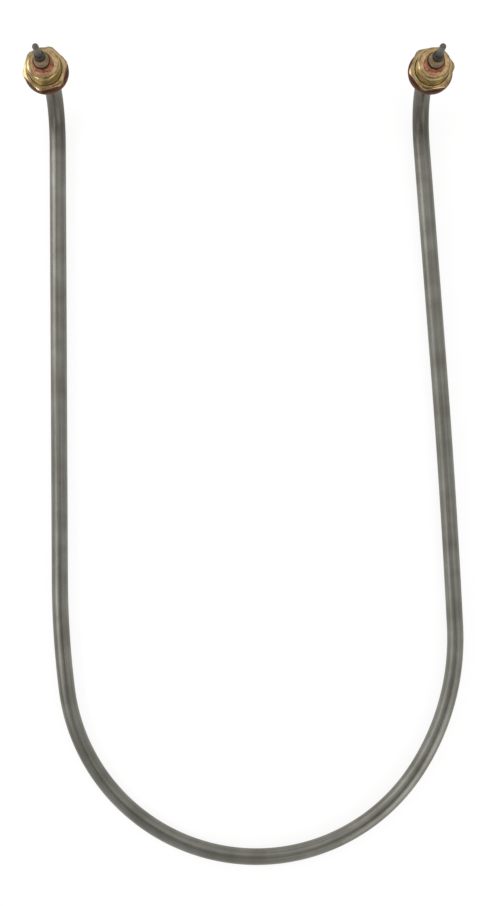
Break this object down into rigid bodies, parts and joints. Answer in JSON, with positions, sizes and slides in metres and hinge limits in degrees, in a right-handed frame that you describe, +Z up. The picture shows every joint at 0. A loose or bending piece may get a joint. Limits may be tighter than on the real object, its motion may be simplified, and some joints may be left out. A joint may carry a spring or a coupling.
{
  "type": "tubular heating element",
  "caption": "Tubular heating element: a steel tube bent into a wide U, its ends turned up through threaded brass bushings with hex nuts, ending in terminal pins.",
  "frame": {"origin": "middle of the element's footprint, on the surface it lies on", "axes": "+X from the left fitting to the right one, +Y from the bow of the U to the fittings, +Z up along the fittings and pins"},
  "size_m": [0.2104, 0.3886, 0.0825],
  "materials": {
    "stainless_sheath": "dull drawn stainless steel",
    "resistance_wire": "bright-annealed nickel-chromium wire",
    "magnesia": "compacted white powder",
    "pin_steel": "plain drawn steel",
    "stud_steel": "dark oxidised steel, brighter at the tip",
    "sealing_compound": "cast silicone compound",
    "bead_ceramic": "unglazed steatite",
    "turned_brass": "bright turned brass",
    "nut_brass": "bright turned brass",
    "braze_filler": "copper-red filler metal, dulled by heat",
    "gasket_rubber": "red-brown silicone rubber"
  },
  "bodies": {
    "root": {"heating_coil": "resistance_wire", "left_braze_ring": "braze_filler", "left_bushing": "turned_brass", "left_ceramic_bead": "bead_ceramic", "left_cold_pin": "pin_steel", "left_gasket": "gasket_rubber", "left_moisture_seal": "sealing_compound", "left_nut": "nut_brass", "left_terminal_stud": "stud_steel", "magnesia_fill": "magnesia", "right_braze_ring": "braze_filler", "right_bushing": "turned_brass", "right_ceramic_bead": "bead_ceramic", "right_cold_pin": "pin_steel", "right_gasket": "gasket_rubber", "right_moisture_seal": "sealing_compound", "right_nut": "nut_brass", "right_terminal_stud": "stud_steel", "sheath": "stainless_sheath"}
  },
  "joints": []
}
